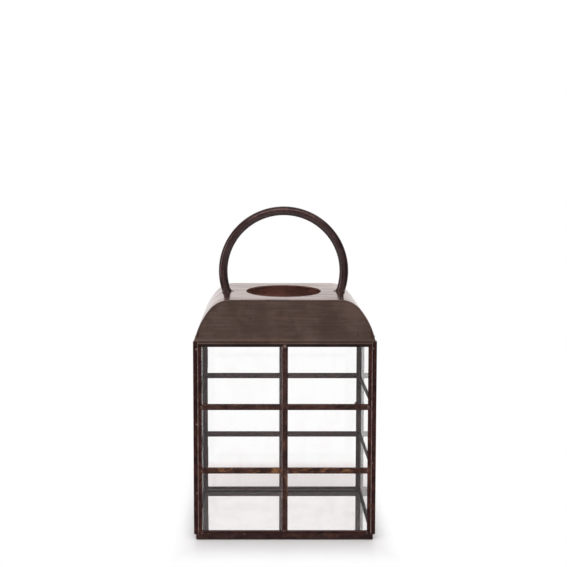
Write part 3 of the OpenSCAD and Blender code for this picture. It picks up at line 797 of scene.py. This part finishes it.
def plate_outline(node):
    """Outline of a roof end plate over the walls, from its left foot to its right one."""
    clear = 0.05 * MM
    points = {(round(v.co.x, 5), round(v.co.z, 5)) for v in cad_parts[node].data.vertices
              if v.co.z > WALL_TOP + clear}
    return [Vector((x, 0, z)) for x, z in sorted(points)]


def evened(points, step):
    """The same line with its points a step apart."""
    walked, result = 0.0, [points[0]]
    for first, second in zip(points, points[1:]):
        length = (second - first).length
        while walked + length >= step:
            first = first.lerp(second, (step - walked) / length)
            length = (second - first).length
            result.append(first)
            walked = 0.0
        walked += length
    return result


def make_rim_solder_and_shade():
    """Dark solder in the corner between each end plate and the roof sheet's rim, dark also as painted shade of that
    corner.
    """
    step, radius, sink = 1.6 * MM, 0.5 * MM, 0.05 * MM
    for node, word, face in (("roof_front_plate", "front", LOW), ("roof_rear_plate", "rear", HIGH)):
        outline = evened(plate_outline(node), step)
        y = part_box(node)[face].y + (sink if face == LOW else -sink)
        mesh = bmesh.new()
        run_bead(mesh, [Vector((p.x, y, p.z)) for p in outline], radius, BACKWARD, seed=face + 11)
        solder_on("rim_solder_and_shade_" + word, mesh, finish=RIM_SOLDER_AND_SHADE)


def level_strip(name, section, half, finish):
    """Strip from left to right with the given (y, z) section."""
    add_strip(name, [[(x, y, z) for y, z in section] for x in (-half, half)], finish)


# Foot of an end plate, flared out over its came, in mm: (out from the plate, up from the wall's top)
PLATE_FOOT = ((0.02, 6.4), (0.12, 4.6), (0.35, 3.2), (0.62, 2.1), (0.92, 1.2), (1.12, 0.6), (1.12, 0.1))

# Half its length, and how far it is let into the plate
PLATE_FOOT_HALF, PLATE_FOOT_SINK = 97.6 * MM, 0.3 * MM

# Hem under it: thickness on the came and in it, depths below the wall's top, bevel (in, down) and inset from the
# corners
HEM_T = 0.3 * MM
HEM_FROM, HEM_TO = 1.1 * MM, 2.6 * MM
HEM_BEVEL = (0.15 * MM, 0.2 * MM)
HEM_INSET = 0.4 * MM


def make_plate_feet(finish):
    """Flared foot of each end plate, and the strip lapped over the upper half of the came that carries it."""
    for node, word, way in (("roof_front_plate", "front", -1), ("roof_rear_plate", "rear", 1)):
        plate = abs(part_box(node)[LOW if way < 0 else HIGH].y)
        foot = [(way * (plate + out * MM), WALL_TOP + up * MM) for out, up in PLATE_FOOT]
        back = [(way * (plate - PLATE_FOOT_SINK), WALL_TOP + PLATE_FOOT[i][1] * MM) for i in (-1, 0)]
        level_strip("plate_foot_" + word, foot + back, PLATE_FOOT_HALF, finish)
        outer, inner = way * (CORNER_Y + HEM_T), way * (CORNER_Y - HEM_T)
        high, low = WALL_TOP - HEM_FROM, WALL_TOP - HEM_TO
        section = [(inner, high), (outer - way * HEM_BEVEL[0], high), (outer, high - HEM_BEVEL[1]), (outer, low),
                   (inner, low)]
        level_strip("lapped_hem_" + word, section, CORNER_X - HEM_INSET, finish)


def make_tray_tacks():
    """Tacks of solder that hold the tray under the walls."""
    shares = (-0.99, -0.45, 0.45, 0.99)
    stand, below_top, radius, height = 0.1 * MM, 0.5 * MM, 1.3 * MM, 0.8 * MM
    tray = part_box("base_tray")[HIGH]
    mesh = bmesh.new()
    seed = 20
    for side in (-1, 1):
        for share in shares:
            seed += 1
            across = Vector((share * tray.x, side * (tray.y + stand), TRAY_TOP - below_top))
            add_blob(mesh, across, Vector((0, side, 0)), radius, height, seed)
            along = Vector((side * (tray.x + stand), share * tray.y, TRAY_TOP - below_top))
            add_blob(mesh, along, Vector((side, 0, 0)), radius, height, seed + 9)
    solder_on("tray_tacks", mesh)


def make_hole_burr():
    """Uneven burr that the shears left on the edge of the chimney hole."""
    steps, radius, sink, wander, lift = 150, 0.3 * MM, 0.1 * MM, 0.25 * MM, 0.15 * MM
    mesh = bmesh.new()
    path = []
    for i in range(steps):
        angle = 2 * math.pi * i / steps
        spoke = Vector((math.cos(angle), math.sin(angle), 0))
        reach = CHIMNEY_R + wander * rest_noise(spoke, 3.0, 31)
        path.append(reach * spoke + (ROOF_TOP - sink + lift * rest_noise(spoke, 5.0, 33)) * UP)
    run_bead(mesh, path, radius, UP, seed=30, closed=True, uneven=0.3)
    solder_on("chimney_burr", mesh, finish=ROOF_SHEET)


# Drops of braze at the legs' feet: side of the leg, then place from the leg's axis (right, back) and radius, in mm
LEG_DROPS = ((-1, 5.6, -2.2, 1.9), (-1, -4.5, -4.2, 1.4), (1, -5.6, -1.6, 1.7), (1, 4.8, -3.8, 1.2),
             (1, -3.0, 5.4, 1.5))
BRAZE_R = 6.6 * MM


def make_leg_drops():
    """Drops of braze round the feet of the handle, those on the bend beside the flat top a little lower."""
    height, drop = 0.7 * MM, 0.5 * MM
    foot_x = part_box("handle_brazes")[HIGH].x - BRAZE_R
    mesh = bmesh.new()
    for number, (side, x, y, radius) in enumerate(LEG_DROPS):
        centre = Vector((side * foot_x + x * MM, y * MM, ROOF_TOP - (drop if side * x > 0 else 0)))
        add_blob(mesh, centre, UP, radius * MM, height, seed=50 + number)
    solder_on("handle_foot_drops", mesh)


# Dark spots that flux has burnt into the front plate, in mm: (right, up, radius)
FLUX_SPOTS = ((-37.9, 247.6, 1.1), (79.0, 229.2, 1.3), (-55.0, 230.0, 0.8), (48.0, 240.0, 0.7), (12.0, 233.5, 0.7))
FLUX_HEIGHT = 0.2 * MM


def make_flux_spots(finish):
    """Thin crusts of burnt flux on the front plate."""
    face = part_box("roof_front_plate")[LOW].y
    mesh = bmesh.new()
    for number, (x, z, radius) in enumerate(FLUX_SPOTS):
        add_blob(mesh, Vector((x * MM, face, z * MM)), FORWARD, radius * MM, FLUX_HEIGHT, seed=70 + number)
    piece = smooth(piece_from("flux_spots", mesh, finish))
    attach(piece, "lantern")


# Hinge leaf: its length and thickness, and its rivets: places along it, inset from its edge, radius and height
LEAF_LENGTH, LEAF_T = 24 * MM, 0.8 * MM
RIVET_SHARES, RIVET_INSET = (0.12, 0.5, 0.88), 0.8 * MM
RIVET_R, RIVET_HEIGHT = 0.6 * MM, 0.4 * MM


def make_hinge_rivets():
    """Round rivet heads on both leaves of each hinge."""
    face = CORNER_Y + LEAF_T
    for node, body, edge in (("hinge_post_leaves", "lantern", LOW), ("hinge_door_leaves", "door", HIGH)):
        low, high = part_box(node)
        x = low.x + RIVET_INSET if edge == LOW else high.x - RIVET_INSET
        mesh = bmesh.new()
        for start in (low.z, high.z - LEAF_LENGTH):
            for share in RIVET_SHARES:
                rivet = Vector((x, face, start + share * LEAF_LENGTH))
                add_blob(mesh, rivet, BACKWARD, RIVET_R, RIVET_HEIGHT, seed=90)
        solder_on(body + "_hinge_rivets", mesh, body, FITTINGS)


set_camera()
dress_lantern()
ROOF_SHEET = worn_by("roof_sheet")
FITTINGS = worn_by("door_knob")
SOLDER = solder_finish()
JOINT_SOLDER = joint_finish()
RIM_SOLDER_AND_SHADE = rim_solder_and_shade_finish()
make_corner_solder()
make_door_lips(worn_by("left_rear_stile"))
make_mullion_highlight_seam()
make_joint_solder()
make_rim_solder_and_shade()
make_plate_feet(worn_by("roof_front_plate"))
make_tray_tacks()
make_hole_burr()
make_leg_drops()
make_flux_spots(flux_finish())
make_hinge_rivets()
make_floor()
light_studio()
